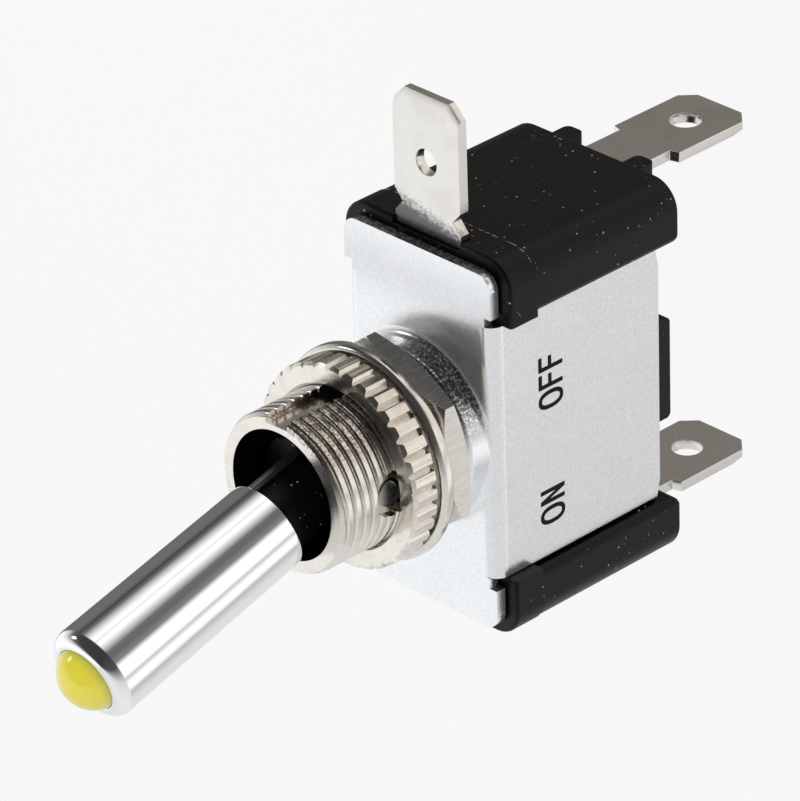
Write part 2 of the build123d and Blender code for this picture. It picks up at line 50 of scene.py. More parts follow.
class Flow:
    # one output socket; operators on it add Math nodes to its tree
    def __init__(self, graph, socket):
        self.graph = graph
        self.socket = socket

    def reckon(self, operation, *values):
        return self.graph.node("ShaderNodeMath", {"operation": operation}, dict(enumerate(values)))

    def __add__(self, other):
        return self.reckon("ADD", self, other)

    def __radd__(self, other):
        return self.reckon("ADD", other, self)

    def __sub__(self, other):
        return self.reckon("SUBTRACT", self, other)

    def __rsub__(self, other):
        return self.reckon("SUBTRACT", other, self)

    def __mul__(self, other):
        return self.reckon("MULTIPLY", self, other)

    def __rmul__(self, other):
        return self.reckon("MULTIPLY", other, self)

    def __truediv__(self, other):
        return self.reckon("DIVIDE", self, other)

    def __rtruediv__(self, other):
        return self.reckon("DIVIDE", other, self)

    def __pow__(self, other):
        return self.reckon("POWER", self, other)

    def __gt__(self, other):
        return self.reckon("GREATER_THAN", self, other)

    def __lt__(self, other):
        return self.reckon("LESS_THAN", self, other)

    def __abs__(self):
        return self.reckon("ABSOLUTE", self)

    def isRow(self, number):
        return self.reckon("COMPARE", self, number, 0.5)

    def atMost(self, other):
        return self.reckon("MINIMUM", self, other)

    def atLeast(self, other):
        return self.reckon("MAXIMUM", self, other)

    def fraction(self):
        return self.reckon("FRACT", self)

    def rounded(self):
        return self.reckon("ROUND", self)

    def cosine(self):
        return self.reckon("COSINE", self)

    def sine(self):
        return self.reckon("SINE", self)

    def eased(self, low, high):
        # 0 below low, 1 above high, an S curve between them
        return self.graph.node("ShaderNodeMapRange", {"interpolation_type": "SMOOTHSTEP"},
                               {"Value": self, "From Min": low, "From Max": high})


class Graph:
    # a node tree that is filled through one method
    def __init__(self, tree):
        self.tree = tree

    def node(self, kind, settings=None, sockets=None, out=0):
        made = self.tree.nodes.new(kind)
        for name, value in (settings or {}).items():
            if name == "stops":
                self.setStops(made.color_ramp, value)
            else:
                setattr(made, name, value)
        for key, value in (sockets or {}).items():
            self.feed(made.inputs[key], value)
        return Flow(self, made.outputs[out])

    def axis(self, place, letter):
        return self.node("ShaderNodeSeparateXYZ", None, {0: place}, letter)

    def feed(self, socket, value):
        if isinstance(value, Flow):
            self.tree.links.new(value.socket, socket)
        else:
            socket.default_value = value

    def setStops(self, ramp, stops):
        ramp.elements[0].position = stops[0][0]
        ramp.elements[0].color = stops[0][1]
        ramp.elements[1].position = stops[1][0]
        ramp.elements[1].color = stops[1][1]
        for place, shown in stops[2:]:
            ramp.elements.new(place).color = shown

    def mixed(self, share, first, second):
        # a blend of two colours
        return self.node("ShaderNodeMix", {"data_type": "RGBA"}, {0: share, 6: first, 7: second}, 2)

    def grains(self, place, scale, detail=2.0, rough=0.5):
        return self.node("ShaderNodeTexNoise", None,
                         {"Vector": place, "Scale": scale, "Detail": detail, "Roughness": rough})


def paint(red, green, blue):
    # a colour given as a screen shows it, 0 to 255
    linear = []
    for part in (red, green, blue):
        share = part / 255
        linear.append(share / 12.92 if share < 0.04045 else ((share + 0.055) / 1.055) ** 2.4)
    return (*linear, 1.0)


def grey(level):
    return (level, level, level, 1.0)


def newFinish(name, base, roughness, metallic=0.0, **fixed):
    material = bpy.data.materials.new(name)
    material.use_nodes = True
    graph = Graph(material.node_tree)
    shader = material.node_tree.nodes["Principled BSDF"]
    shader.inputs["Base Color"].default_value = base
    shader.inputs["Roughness"].default_value = roughness
    shader.inputs["Metallic"].default_value = metallic
    for label, value in fixed.items():
        shader.inputs[label.replace("_", " ")].default_value = value
    place = graph.node("ShaderNodeTexCoord", None, None, "Object")
    return material, graph, shader, place


def stretched(graph, place, across, along, turn=(0.0, 0.0, 0.0)):
    # coordinates whose pattern is drawn out along the turned z axis
    turned = graph.node("ShaderNodeMapping", {"vector_type": "POINT"},
                        {"Vector": place, "Rotation": turn})
    return graph.node("ShaderNodeMapping", {"vector_type": "POINT"},
                      {"Vector": turned, "Scale": (across, across, along)})


def relief(graph, shader, height, distance, strength=1.0):
    bump = graph.node("ShaderNodeBump", None,
                      {"Height": height, "Distance": distance, "Strength": strength})
    graph.feed(shader.inputs["Normal"], bump)


zincPlate = {"light": paint(243, 244, 245), "dark": paint(234, 236, 238), "roughness": 0.23,
             "cloudScale": 260.0, "grainScale": 5000.0, "grainDepth": 0.004 * mm,
             # the spot colour is a painted dark reflection on one side of the boss
             "spot": paint(48, 50, 55), "spotScale": 5200.0, "darkReflectionFrom": 4.5 * mm,
             "darkReflectionTo": 6.5 * mm, "dish": 1.1 * mm, "dishFrom": 7 * mm, "dishTo": 15 * mm, "dishGrain": 0.009 * mm,
             "sheared": paint(150, 151, 155), "shearedScale": 3500.0}


def makeZinc(name="zincPlateFinish", dished=False, darkReflectionSpots=False):
    material, graph, shader, place = newFinish(name, zincPlate["light"], 0.2, 0.92)
    clouds = graph.grains(place, zincPlate["cloudScale"], 4.0)
    grain = graph.grains(place, zincPlate["grainScale"], 3.0, 0.6)
    share = grain * 0.85 + clouds * 0.15
    plated = graph.mixed(share.eased(0.36, 0.64), zincPlate["dark"], zincPlate["light"])
    if darkReflectionSpots:
        # painted reflection: the boss is spotted dark on the side that faces the front blade, standing in for the
        # dark surroundings mirrored there
        side = graph.axis(place, "X") * 0.55 + graph.axis(place, "Y") * 0.83
        reflectionSpots = graph.grains(place, zincPlate["spotScale"], 4.0, 0.75)
        share = reflectionSpots.eased(0.39, 0.52) * side.eased(zincPlate["darkReflectionFrom"], zincPlate["darkReflectionTo"])
        plated = graph.mixed(share * 0.9, plated, zincPlate["spot"])
    graph.feed(shader.inputs["Base Color"], plated)
    graph.feed(shader.inputs["Roughness"], zincPlate["roughness"] + 0.12 * (grain - 0.5))
    if dished:
        # the front plate shades as if pressed slightly hollow from the boss out to its upper end; the hollow is
        # only in the normal
        hollow = 1.0 - graph.axis(place, "Y").eased(zincPlate["dishFrom"], zincPlate["dishTo"])
        mottle = graph.grains(place, zincPlate["grainScale"] * 0.6, 4.0, 0.7)
        height = hollow * zincPlate["dish"] + mottle * zincPlate["dishGrain"]
        relief(graph, shader, height, 1.0)
    else:
        relief(graph, shader, grain, zincPlate["grainDepth"])
    return material


def makeSheared():
    # the sheared edges of the plate: darker, coarser grain
    material, graph, shader, place = newFinish("shearedEdgeFinish", zincPlate["sheared"], 0.3, 1.0)
    grain = graph.grains(place, zincPlate["shearedScale"], 4.0, 0.65)
    graph.feed(shader.inputs["Base Color"],
               graph.mixed(grain.eased(0.42, 0.62), zincPlate["sheared"], zincPlate["light"]))
    relief(graph, shader, grain, 0.02 * mm)
    return material


nickelPlate = {"base": paint(231, 227, 220), "stained": paint(224, 218, 209), "roughness": 0.16,
               "grainScale": 6500.0, "stainScale": 900.0, "grainDepth": 0.004 * mm,
               # the darkening colour serves the darker thread roots and the painted shade on the +Y side
               "darkening": paint(104, 90, 74), "rootFrom": 5.56 * mm, "rootTo": 5.9 * mm,
               "rootAbove": 3.6 * mm, "rootBelow": 8.2 * mm,
               "milled": paint(196, 192, 186), "milledAcross": 9000.0, "milledAlong": 900.0,
               "sideShadeScale": 5200.0, "sideShadeFrom": 4.7 * mm, "sideShadeTo": 5.8 * mm}


def makeNickel():
    material, graph, shader, place = newFinish("nickelPlateFinish", nickelPlate["base"], 0.2, 1.0)
    grain = graph.grains(place, nickelPlate["grainScale"], 3.0, 0.6)
    stain = graph.grains(place, nickelPlate["stainScale"], 3.0, 0.6)
    # the roots of the thread are darker between the given heights
    flat = graph.node("ShaderNodeVectorMath", {"operation": "MULTIPLY"},
                      {0: place, 1: (1.0, 1.0, 0.0)})
    radius = graph.node("ShaderNodeVectorMath", {"operation": "LENGTH"}, {0: flat}, "Value")
    inRoot = (1.0 - radius.eased(nickelPlate["rootFrom"], nickelPlate["rootTo"])) * (radius > 5.3 * mm)
    height = graph.axis(place, "Z")
    rootAndSideDarkening = (inRoot * (height > nickelPlate["rootAbove"]) * (height < nickelPlate["rootBelow"])
            * grain.eased(0.3, 0.6))
    plated = graph.mixed(stain.eased(0.45, 0.65), nickelPlate["base"], nickelPlate["stained"])
    # painted shade: the root darkening and dark flecks are made stronger on the +Y side beside the keyway,
    # standing in for shade and dark reflections there
    side = graph.axis(place, "X") * 0.4 + graph.axis(place, "Y") * 0.92
    rootAndSideDarkening = rootAndSideDarkening * (0.25 + 0.75 * side.eased(2 * mm, 5 * mm))
    fleck = graph.grains(place, nickelPlate["sideShadeScale"], 4.0, 0.75)
    darker = (fleck.eased(0.4, 0.6) * side.eased(nickelPlate["sideShadeFrom"], nickelPlate["sideShadeTo"])
            * (radius < 5.97 * mm) * (radius > 5.3 * mm))
    graph.feed(shader.inputs["Base Color"],
               graph.mixed((rootAndSideDarkening * 0.8).atLeast(darker * 0.85), plated, nickelPlate["darkening"]))
    graph.feed(shader.inputs["Roughness"], nickelPlate["roughness"] + 0.25 * (grain - 0.45))
    relief(graph, shader, grain, nickelPlate["grainDepth"])
    return material


def makeMilled():
    # the flats of the hexagonal nut are milled and a little duller
    look = nickelPlate
    material, graph, shader, place = newFinish("milledNickelFinish", look["milled"], 0.25, 1.0)
    streak = graph.grains(stretched(graph, place, look["milledAcross"], look["milledAlong"]), 1.0, 3.0)
    graph.feed(shader.inputs["Base Color"],
               graph.mixed(streak.eased(0.35, 0.65) * 0.5, look["milled"], look["base"]))
    graph.feed(shader.inputs["Roughness"], 0.25 + 0.15 * (streak - 0.5))
    relief(graph, shader, streak, look["grainDepth"])
    return material


chromeSleeve = {"base": paint(248, 248, 249), "roughness": 0.04, "lean": math.radians(15.3),
                "scratchAcross": 9000.0, "scratchAlong": 700.0, "scratchDepth": 0.0012 * mm}


def makeChrome():
    material, graph, shader, place = newFinish("chromeSleeveFinish", chromeSleeve["base"], 0.05, 1.0)
    drawn = stretched(graph, place, chromeSleeve["scratchAcross"], chromeSleeve["scratchAlong"],
                      (-chromeSleeve["lean"], 0.0, 0.0))
    scratch = graph.grains(drawn, 1.0, 2.0)
    wear = graph.grains(place, 900.0, 3.0)
    marks = scratch.eased(0.62, 0.72) * wear.eased(0.45, 0.7)
    graph.feed(shader.inputs["Roughness"], chromeSleeve["roughness"] + 0.12 * marks)
    relief(graph, shader, scratch * wear, chromeSleeve["scratchDepth"])
    return material


blackMoulding = {"base": paint(8, 8, 7), "speck": paint(170, 170, 166), "roughness": 0.38,
                 "speckScale": 1500.0, "grainScale": 2500.0, "grainDepth": 0.012 * mm,
                 "scratchAcross": 2600.0, "scratchAlong": 420.0, "step": 8.1 * mm}


def makeMoulding(name="blackMouldingFinish", look=blackMoulding):
    material, graph, shader, place = newFinish(name, look["base"], look["roughness"],
                                               Specular_IOR_Level=0.2)
    grain = graph.grains(place, look["grainScale"], 4.0, 0.6)
    cloud = graph.grains(place, 300.0, 3.0)
    speck = graph.node("ShaderNodeTexVoronoi", {"feature": "F1"},
                       {"Vector": place, "Scale": look["speckScale"]})
    chosen = graph.node("ShaderNodeTexVoronoi", {"feature": "F1"},
                        {"Vector": place, "Scale": look["speckScale"]}, "Color")
    picked = graph.node("ShaderNodeSeparateColor", None, {"Color": chosen})
    dust = (speck < 0.03 + 0.16 * grain) * (picked > 0.45) * cloud.eased(0.42, 0.52)
    marks = 0.0
    for turn in ((0.3, 0.9, 0.2), (1.2, 0.1, 0.7)):
        drawn = stretched(graph, place, look["scratchAcross"], look["scratchAlong"], turn)
        line = graph.node("ShaderNodeTexVoronoi", {"feature": "F1"}, {"Vector": drawn, "Scale": 1.0})
        marks = (line < 0.075) * cloud.eased(0.5, 0.56) + marks
    # a light line along the step behind the front block: dust, and partly a painted highlight on the step's edge
    stepDustAndHighlight = (abs(graph.axis(place, "Z") + look["step"]) < 0.07 * mm) * (grain > 0.5)
    onTop = graph.axis(place, "Y") > 14 * mm
    dustWearAndHighlight = (dust * 0.85 + marks * 0.5 + stepDustAndHighlight * onTop * 0.7).atMost(1.0)
    graph.feed(shader.inputs["Base Color"], graph.mixed(dustWearAndHighlight, look["base"], look["speck"]))
    graph.feed(shader.inputs["Roughness"],
               look["roughness"] + 0.16 * (grain - 0.5) + 0.2 * (cloud - 0.5))
    relief(graph, shader, grain, look["grainDepth"])
    return material


# the first colour is a painted dark reflection at the foot of the front blade
tinnedBlade = {"foot": paint(80, 79, 82), "footFrom": 14.4 * mm, "footTo": 17.4 * mm,
               "base": paint(229, 226, 221), "darker": paint(222, 218, 212), "roughness": 0.24,
               "across": 7000.0, "along": 2500.0, "grainDepth": 0.005 * mm}


def makeTinned():
    material, graph, shader, place = newFinish("tinnedBladeFinish", tinnedBlade["base"], 0.3, 1.0)
    drawn = stretched(graph, place, tinnedBlade["across"], tinnedBlade["along"])
    streak = graph.grains(drawn, 1.0, 3.0)
    cloud = graph.grains(place, 350.0, 3.0)
    # painted reflection: the front blade is darkened where it leaves the moulding, standing in for the black
    # moulding mirrored in it
    height = graph.axis(place, "Y") + graph.axis(place, "X") * 0.22
    front = graph.axis(place, "Z") > -10 * mm
    reflectionGrain = graph.grains(place, 2600.0, 4.0, 0.7)
    low = 1.0 - height.eased(tinnedBlade["footFrom"], tinnedBlade["footTo"])
    foot = (low + reflectionGrain * 1.3).eased(0.85, 1.5) * front
    graph.feed(shader.inputs["Base Color"],
               graph.mixed(foot * 0.9, graph.mixed(cloud.eased(0.4, 0.7), tinnedBlade["base"],
                                             tinnedBlade["darker"]), tinnedBlade["foot"]))
    graph.feed(shader.inputs["Roughness"], tinnedBlade["roughness"] + 0.15 * (streak - 0.5))
    relief(graph, shader, streak, tinnedBlade["grainDepth"])
    return material


def makeMetal(name, base, roughness):
    material, graph, shader, place = newFinish(name, base, roughness, 1.0)
    grain = graph.grains(place, 4000.0, 3.0)
    graph.feed(shader.inputs["Roughness"], roughness + 0.2 * (grain - 0.5))
    relief(graph, shader, grain, 0.004 * mm)
    return material


lampLens = {"middle": paint(217, 205, 60), "edge": paint(192, 190, 84), "roughness": 0.12}


def makeLamp():
    material, graph, shader, place = newFinish("lampLensFinish", lampLens["middle"],
                                               lampLens["roughness"], 0.0, Coat_Weight=0.6,
                                               Coat_Roughness=0.03)
    aside = -pivotHeight * math.sin(chromeSleeve["lean"])
    upright = graph.node("ShaderNodeMapping", {"vector_type": "POINT"},
                         {"Vector": place, "Rotation": (-chromeSleeve["lean"], 0.0, 0.0),
                          "Location": (0.0, aside, 0.0)})
    flat = graph.node("ShaderNodeVectorMath", {"operation": "MULTIPLY"},
                      {0: upright, 1: (1.0, 1.0, 0.0)})
    shift = graph.node("ShaderNodeVectorMath", {"operation": "LENGTH"}, {0: flat}, "Value")
    # painted reflection: the lens turns greener towards its rim, standing in for the surroundings mirrored at its
    # edge
    share = shift.eased(2.15 * mm, 2.45 * mm)
    graph.feed(shader.inputs["Base Color"],
               graph.mixed(share, lampLens["middle"], lampLens["edge"]))
    return material


finishes = {
    "zinc_plate": makeZinc(),
    "black_moulding": makeMoulding(),
    "fibre_card": makeMetal("fibreCardFinish", paint(58, 44, 34), 0.6),
    "nickel_plate": makeNickel(),
    "steel_pin": makeMetal("steelPinFinish", paint(190, 190, 188), 0.3),
    "tinned_blade": makeTinned(),
    "silver_contact": makeMetal("silverContactFinish", paint(226, 224, 218), 0.3),
    "chrome_sleeve": makeChrome(),
    "black_core": makeMoulding("blackCoreFinish", {**blackMoulding, "speckScale": 1400.0}),
    "lamp_lens": makeLamp(),
    "bare_wire": makeMetal("bareWireFinish", paint(128, 126, 122), 0.42),
    "spring_steel": makeMetal("springSteelFinish", paint(176, 176, 176), 0.3),
    "bare_copper": makeMetal("bareCopperFinish", paint(214, 150, 110), 0.3),
}
finishes["fibre_card"].node_tree.nodes["Principled BSDF"].inputs["Metallic"].default_value = 0.0
print("finishes made:", len(finishes))


def newPiece(name, mesh, slotName, body, *replaced):
    piece = bpy.data.objects.new(name, mesh)
    bpy.context.scene.collection.objects.link(piece)
    if not mesh.materials:
        mesh.materials.append(finishes[slotName])
    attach(piece, body)
    if replaced:
        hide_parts(*replaced)
    return piece


def shadeByAngle(mesh, degrees):
    mesh.polygons.foreach_set("use_smooth", [True] * len(mesh.polygons))
    mesh.set_sharp_from_angle(angle=math.radians(degrees))


def evaluated(piece):
    # the plain mesh that the piece's modifiers give
    graph = bpy.context.evaluated_depsgraph_get()
    return bpy.data.meshes.new_from_object(piece.evaluated_get(graph))


def softened(node, slotName, body, width, segments=2, angle=32):
    # a copy of a CAD node whose sharp edges are slightly rounded
    bm = bmesh.new()
    bm.from_mesh(nodes[node].data)
    bmesh.ops.remove_doubles(bm, verts=bm.verts, dist=0.0005 * mm)
    bmesh.ops.dissolve_limit(bm, angle_limit=math.radians(0.5), verts=bm.verts, edges=bm.edges)
    for face in bm.faces:
        face.smooth = True
    mesh = bpy.data.meshes.new(node + "Merged")
    bm.to_mesh(mesh)
    bm.free()
    maker = bpy.data.objects.new(node + "Maker", mesh)
    bpy.context.scene.collection.objects.link(maker)
    bevel = maker.modifiers.new("edges", "BEVEL")
    bevel.width = width
    bevel.segments = segments
    bevel.limit_method = "ANGLE"
    bevel.angle_limit = math.radians(angle)
    bevel.use_clamp_overlap = True
    bevel.miter_outer = "MITER_ARC"
    flatter = maker.modifiers.new("flatter", "WEIGHTED_NORMAL")
    flatter.weight = 100
    flatter.keep_sharp = True
    finished = evaluated(maker)
    bpy.data.objects.remove(maker)
    finished.materials.clear()
    return newPiece(node + "Soft", finished, slotName, body, node)


def arc(centre, radius, fromAngle, toAngle, steps):
    points = []
    for k in range(steps + 1):
        angle = math.radians(fromAngle + (toAngle - fromAngle) * k / steps)
        points.append((centre[0] + radius * math.cos(angle), centre[1] + radius * math.sin(angle)))
    return points


def lathe(name, profile, segments, closed=True):
    # turns (radius, height) points in millimetres about the z axis
    bm = bmesh.new()
    rows = []
    for radius, height in profile:
        row = []
        if radius < 1e-6:
            row = [bm.verts.new((0.0, 0.0, height * mm))] * segments
        else:
            for k in range(segments):
                angle = 2 * math.pi * k / segments
                row.append(bm.verts.new((radius * mm * math.cos(angle),
                                         radius * mm * math.sin(angle), height * mm)))
        rows.append(row)
    pairs = list(zip(rows, rows[1:]))
    if closed:
        pairs.append((rows[-1], rows[0]))
    for low, high in pairs:
        for k in range(segments):
            after = (k + 1) % segments
            corners = []
            for vert in (low[k], low[after], high[after], high[k]):
                if vert not in corners:
                    corners.append(vert)
            if len(corners) > 2:
                bm.faces.new(corners)
    mesh = bpy.data.meshes.new(name)
    bm.to_mesh(mesh)
    bm.free()
    return mesh


leverPlace = Matrix.Translation((0, 0, pivotHeight)) @ Matrix.Rotation(chromeSleeve["lean"], 4, "X")

for name, piece in nodes.items():
    slotName = next(s["material_slot"] for s in frame["record"]["subparts"] if s["node"] == name)
    piece.data.materials.clear()
    piece.data.materials.append(finishes[slotName])

# The thread and the knurl are grids whose rows and columns follow a rule


def newTree(name, sizes):
    tree = bpy.data.node_groups.new(name, "GeometryNodeTree")
    tree.interface.new_socket("Geometry", in_out="OUTPUT", socket_type="NodeSocketGeometry")
    for label, value in sizes.items():
        kind = "NodeSocketInt" if isinstance(value, int) else "NodeSocketFloat"
        tree.interface.new_socket(label, in_out="INPUT", socket_type=kind).default_value = value
    tree.interface.new_socket("Material", in_out="INPUT", socket_type="NodeSocketMaterial")
    graph = Graph(tree)
    entry = tree.nodes.new("NodeGroupInput")
    named = {label: Flow(graph, entry.outputs[label]) for label in [*sizes, "Material"]}
    return tree, graph, named


def closeTree(tree, graph, geometry, material):
    whole = graph.node("GeometryNodeRealizeInstances", None, {"Geometry": geometry})
    coloured = graph.node("GeometryNodeSetMaterial", None, {"Geometry": whole, "Material": material})
    leave = tree.nodes.new("NodeGroupOutput")
    graph.feed(leave.inputs["Geometry"], coloured)


def wrapped(graph, columns, rows, shape):
    # a grid whose columns go round the axis; shape gives radius and height for each turn and row
    grid = graph.node("GeometryNodeMeshGrid", None,
                      {"Size X": 1.0, "Size Y": 1.0, "Vertices X": columns + 1, "Vertices Y": rows})
    spot = graph.node("GeometryNodeInputPosition")
    share = graph.node("ShaderNodeSeparateXYZ", None, {0: spot}, "X") + 0.5
    row = ((graph.node("ShaderNodeSeparateXYZ", None, {0: spot}, "Y") + 0.5) * (rows - 1)).rounded()
    radius, height = shape(share, row)
    angle = share * (2 * math.pi)
    place = graph.node("ShaderNodeCombineXYZ", None,
                       {0: radius * angle.cosine(), 1: radius * angle.sine(), 2: height})
    placed = graph.node("GeometryNodeSetPosition", None, {"Geometry": grid, "Position": place})
    return graph.node("GeometryNodeMergeByDistance", None,
                      {"Geometry": placed, "Distance": 0.0005 * mm})


def baked(name, tree, sizes, material):
    maker = bpy.data.objects.new(name + "Maker", bpy.data.meshes.new(name + "Start"))
    bpy.context.scene.collection.objects.link(maker)
    made = maker.modifiers.new("made", "NODES")
    made.node_group = tree
    for item in tree.interface.items_tree:
        if item.in_out == "INPUT":
            made[item.identifier] = material if item.name == "Material" else sizes[item.name]
    mesh = evaluated(maker)
    bpy.data.objects.remove(maker)
    mesh.name = name
    return mesh


def picked(row, values):
    total = 0.0
    for number, value in enumerate(values):
        total = row.isRow(number) * value + total
    return total


threadSizes = {"Major Radius": 5.95 * mm, "Depth": 0.4 * mm, "Pitch": 0.794 * mm,
               "Low": -2.4 * mm, "High": 8.77 * mm, "Bore": 4.83 * mm, "Rim Radius": 5.72 * mm,
               "Columns": 120, "Steps Per Pitch": 12}


def threadTree():
    tree, graph, size = newTree("threadedTube", threadSizes)
    low, high, pitch, steps = size["Low"], size["High"], size["Pitch"], size["Steps Per Pitch"]
    turns = ((high - low) / pitch + 2.0).rounded()
    threadRows = turns * steps
    rows = threadRows + 4

    def threadRadius(share, height):
        phase = ((height - low) / pitch - share + 8.0).fraction()
        ridge = (abs(phase - 0.5) * 2.0).eased(0.03, 0.4)
        cut = size["Major Radius"] - size["Depth"] * (1.0 - ridge)
        return cut.atMost(size["Rim Radius"] + (high - height) * 0.5)

    def shape(share, row):
        step = row.atMost(threadRows - 1)
        rise = low + pitch * (step / steps + share - 1.0)
        outer = rise.atLeast(low).atMost(high)
        beyond = row - threadRows
        onThread = beyond < -0.5
        atRim = beyond.isRow(0)
        height = onThread * outer + atRim * high + (1.0 - onThread - atRim) * low
        onBore = beyond.isRow(0) + beyond.isRow(1)
        radius = (1.0 - onBore) * threadRadius(share, height) + onBore * size["Bore"]
        return radius, height

    # the two rows after the bore close the tube on its lower end
    closeTree(tree, graph, wrapped(graph, size["Columns"], rows, shape), size["Material"])
    return tree


def cut(mesh, cutters, name):
    # takes the cutters' shapes out of a closed mesh
    maker = bpy.data.objects.new(name + "Maker", mesh)
    bpy.context.scene.collection.objects.link(maker)
    tools = []
    for cutter in cutters:
        tool = bpy.data.objects.new(name + "Tool", cutter)
        bpy.context.scene.collection.objects.link(tool)
        tools.append(tool)
        taking = maker.modifiers.new("cut", "BOOLEAN")
        taking.operation = "DIFFERENCE"
        taking.object = tool
        taking.solver = "EXACT"
    finished = evaluated(maker)
    for tool in [*tools, maker]:
        bpy.data.objects.remove(tool)
    return finished


def boxMesh(low, high, place=Matrix.Identity(4)):
    bm = bmesh.new()
    bmesh.ops.create_cube(bm, size=1.0)
    size = [b - a for a, b in zip(low, high)]
    middle = [(a + b) / 2 for a, b in zip(low, high)]
    bm.transform(place @ Matrix.Translation(middle) @ Matrix.Diagonal((*size, 1.0)))
    mesh = bpy.data.meshes.new("box")
    bm.to_mesh(mesh)
    bm.free()
    return mesh


def barMesh(radius, low, high, place=Matrix.Identity(4), segments=64):
    bm = bmesh.new()
    bmesh.ops.create_cone(bm, cap_ends=True, segments=segments, radius1=radius, radius2=radius,
                          depth=high - low)
    bm.transform(place @ Matrix.Translation((0, 0, (low + high) / 2)))
    mesh = bpy.data.meshes.new("bar")
    bm.to_mesh(mesh)
    bm.free()
    return mesh


def joined(name, meshes):
    bm = bmesh.new()
    for mesh in meshes:
        bm.from_mesh(mesh)
    mesh = bpy.data.meshes.new(name)
    bm.to_mesh(mesh)
    bm.free()
    return mesh


bushingCuts = {"turn": math.radians(2.6), "keyWidth": 2.15 * mm, "keyFloor": 5.25 * mm,
               "counterboreRadius": 1.65 * mm, "counterboreFloor": 5.35 * mm,
               "pinHoleRadius": 1.03 * mm, "shadedBoreReach": 4.9 * mm}


def makeBushing():
    look = bushingCuts
    tube = baked("threadedTube", threadTree(), threadSizes, finishes["nickel_plate"])
    turn = Matrix.Rotation(look["turn"], 4, "Z")
    half = look["keyWidth"] / 2
    cutters = [boxMesh((-half, look["keyFloor"], -3 * mm), (half, 8 * mm, 10 * mm), turn)]
    for side in (90, -90):
        aim = turn @ Matrix.Translation((0, 0, pivotHeight)) @ Matrix.Rotation(math.radians(side), 4, "Y")
        cutters.append(barMesh(look["counterboreRadius"], look["counterboreFloor"], 8 * mm, aim))
        cutters.append(barMesh(look["pinHoleRadius"], 3 * mm, 8 * mm, aim, 32))
    tube = cut(tube, cutters, "bushing")
    seat = lathe("spigot", [(4.2, -3.6), (5.5, -3.6), (5.5, -3.2), (4.97, -3.2), (4.97, -2.41),
                            (4.83, -2.4), (4.83, 0.03), (4.2, -0.6)], 96)
    mesh = joined("bushingThreaded", [tube, seat])
    shadeByAngle(mesh, 50)
    mesh.materials.clear()
    mesh.materials.append(finishes["nickel_plate"])
    # painted shade: the inner wall of the bore takes the black core finish, standing in for the shade inside the
    # bore
    mesh.materials.append(finishes["black_core"])
    for face in mesh.polygons:
        inShadedBore = math.hypot(face.center.x, face.center.y) < look["shadedBoreReach"]
        face.material_index = int(inShadedBore and abs(face.normal.z) < 0.9)
    return newPiece("bushingThreaded", mesh, "nickel_plate", "body", "bushing")


makeBushing()
print("threaded bushing made")

knurlSizes = {"Teeth": 36, "Crest Radius": 7.65 * mm, "Root Radius": 7.24 * mm,
              "Face Radius": 7.42 * mm, "Groove Radius": 7.14 * mm, "Bore": 5.98 * mm,
              "Low": 1.18 * mm, "High": 3.55 * mm, "Groove": 0.3 * mm, "Chamfer": 0.24 * mm,
              "Mouth": 0.2 * mm, "Steps Per Tooth": 10}


def knurlTree():
    tree, graph, size = newTree("knurledRing", knurlSizes)
    low, high, bore, mouth = size["Low"], size["High"], size["Bore"], size["Mouth"]

    def shape(share, row):
        phase = (share * size["Teeth"]).fraction()
        ridge = (abs(phase - 0.5) * 2.0 / 0.46).atMost(1.0)
        tooth = size["Root Radius"] + (size["Crest Radius"] - size["Root Radius"]) * ridge
        slope = (size["Crest Radius"] - size["Face Radius"]) / size["Chamfer"]
        tipHeight = (high - (tooth - size["Face Radius"]) / slope).atMost(high)
        groove = size["Groove Radius"]
        grooveTop = low + size["Groove"]
        radius = picked(row, [bore, groove, groove, tooth, tooth, tooth.atMost(size["Face Radius"]),
                              bore + mouth, bore, bore])
        height = picked(row, [low, low, grooveTop, grooveTop, tipHeight, high, high, high - mouth,
                              low])
        return radius, height

    closeTree(tree, graph, wrapped(graph, size["Teeth"] * size["Steps Per Tooth"], 9, shape),
              size["Material"])
    return tree


def makeKnurledNut():
    mesh = baked("knurledRing", knurlTree(), knurlSizes, finishes["nickel_plate"])
    shadeByAngle(mesh, 25)
    mesh.materials.clear()
    return newPiece("knurledNutCut", mesh, "nickel_plate", "body", "knurled_nut")


makeKnurledNut()
print("knurled nut made")


faceRing = {"outer": 8.0, "bore": 5.98, "thick": 1.15, "round": 0.42}


def makeFaceRing():
    look = faceRing
    r, t, e = look["outer"], look["thick"], look["round"]
    profile = [(look["bore"], 0.0)]
    profile += arc((r - e, e), e, -90, 0, 8)
    profile += arc((r - e, t - e), e, 0, 90, 8)
    profile += [(look["bore"], t)]
    mesh = lathe("faceRing", profile, 160)
    tab = boxMesh((-0.99 * mm, 5.33 * mm, 0.02 * mm), (0.99 * mm, 6.1 * mm, (t - 0.02) * mm),
                  Matrix.Rotation(bushingCuts["turn"], 4, "Z"))
    mesh = joined("faceRing", [mesh, tab])
    shadeByAngle(mesh, 35)
    return newPiece("faceRingRound", mesh, "nickel_plate", "body", "face_ring")


makeFaceRing()

sleeve = {"start": 6.6, "end": 24.1, "rootRadius": 3.315, "tipRadius": 3.48, "bore": 2.81,
          "mouth": 2.45, "lampSeat": 18.13, "rearRound": 0.12}


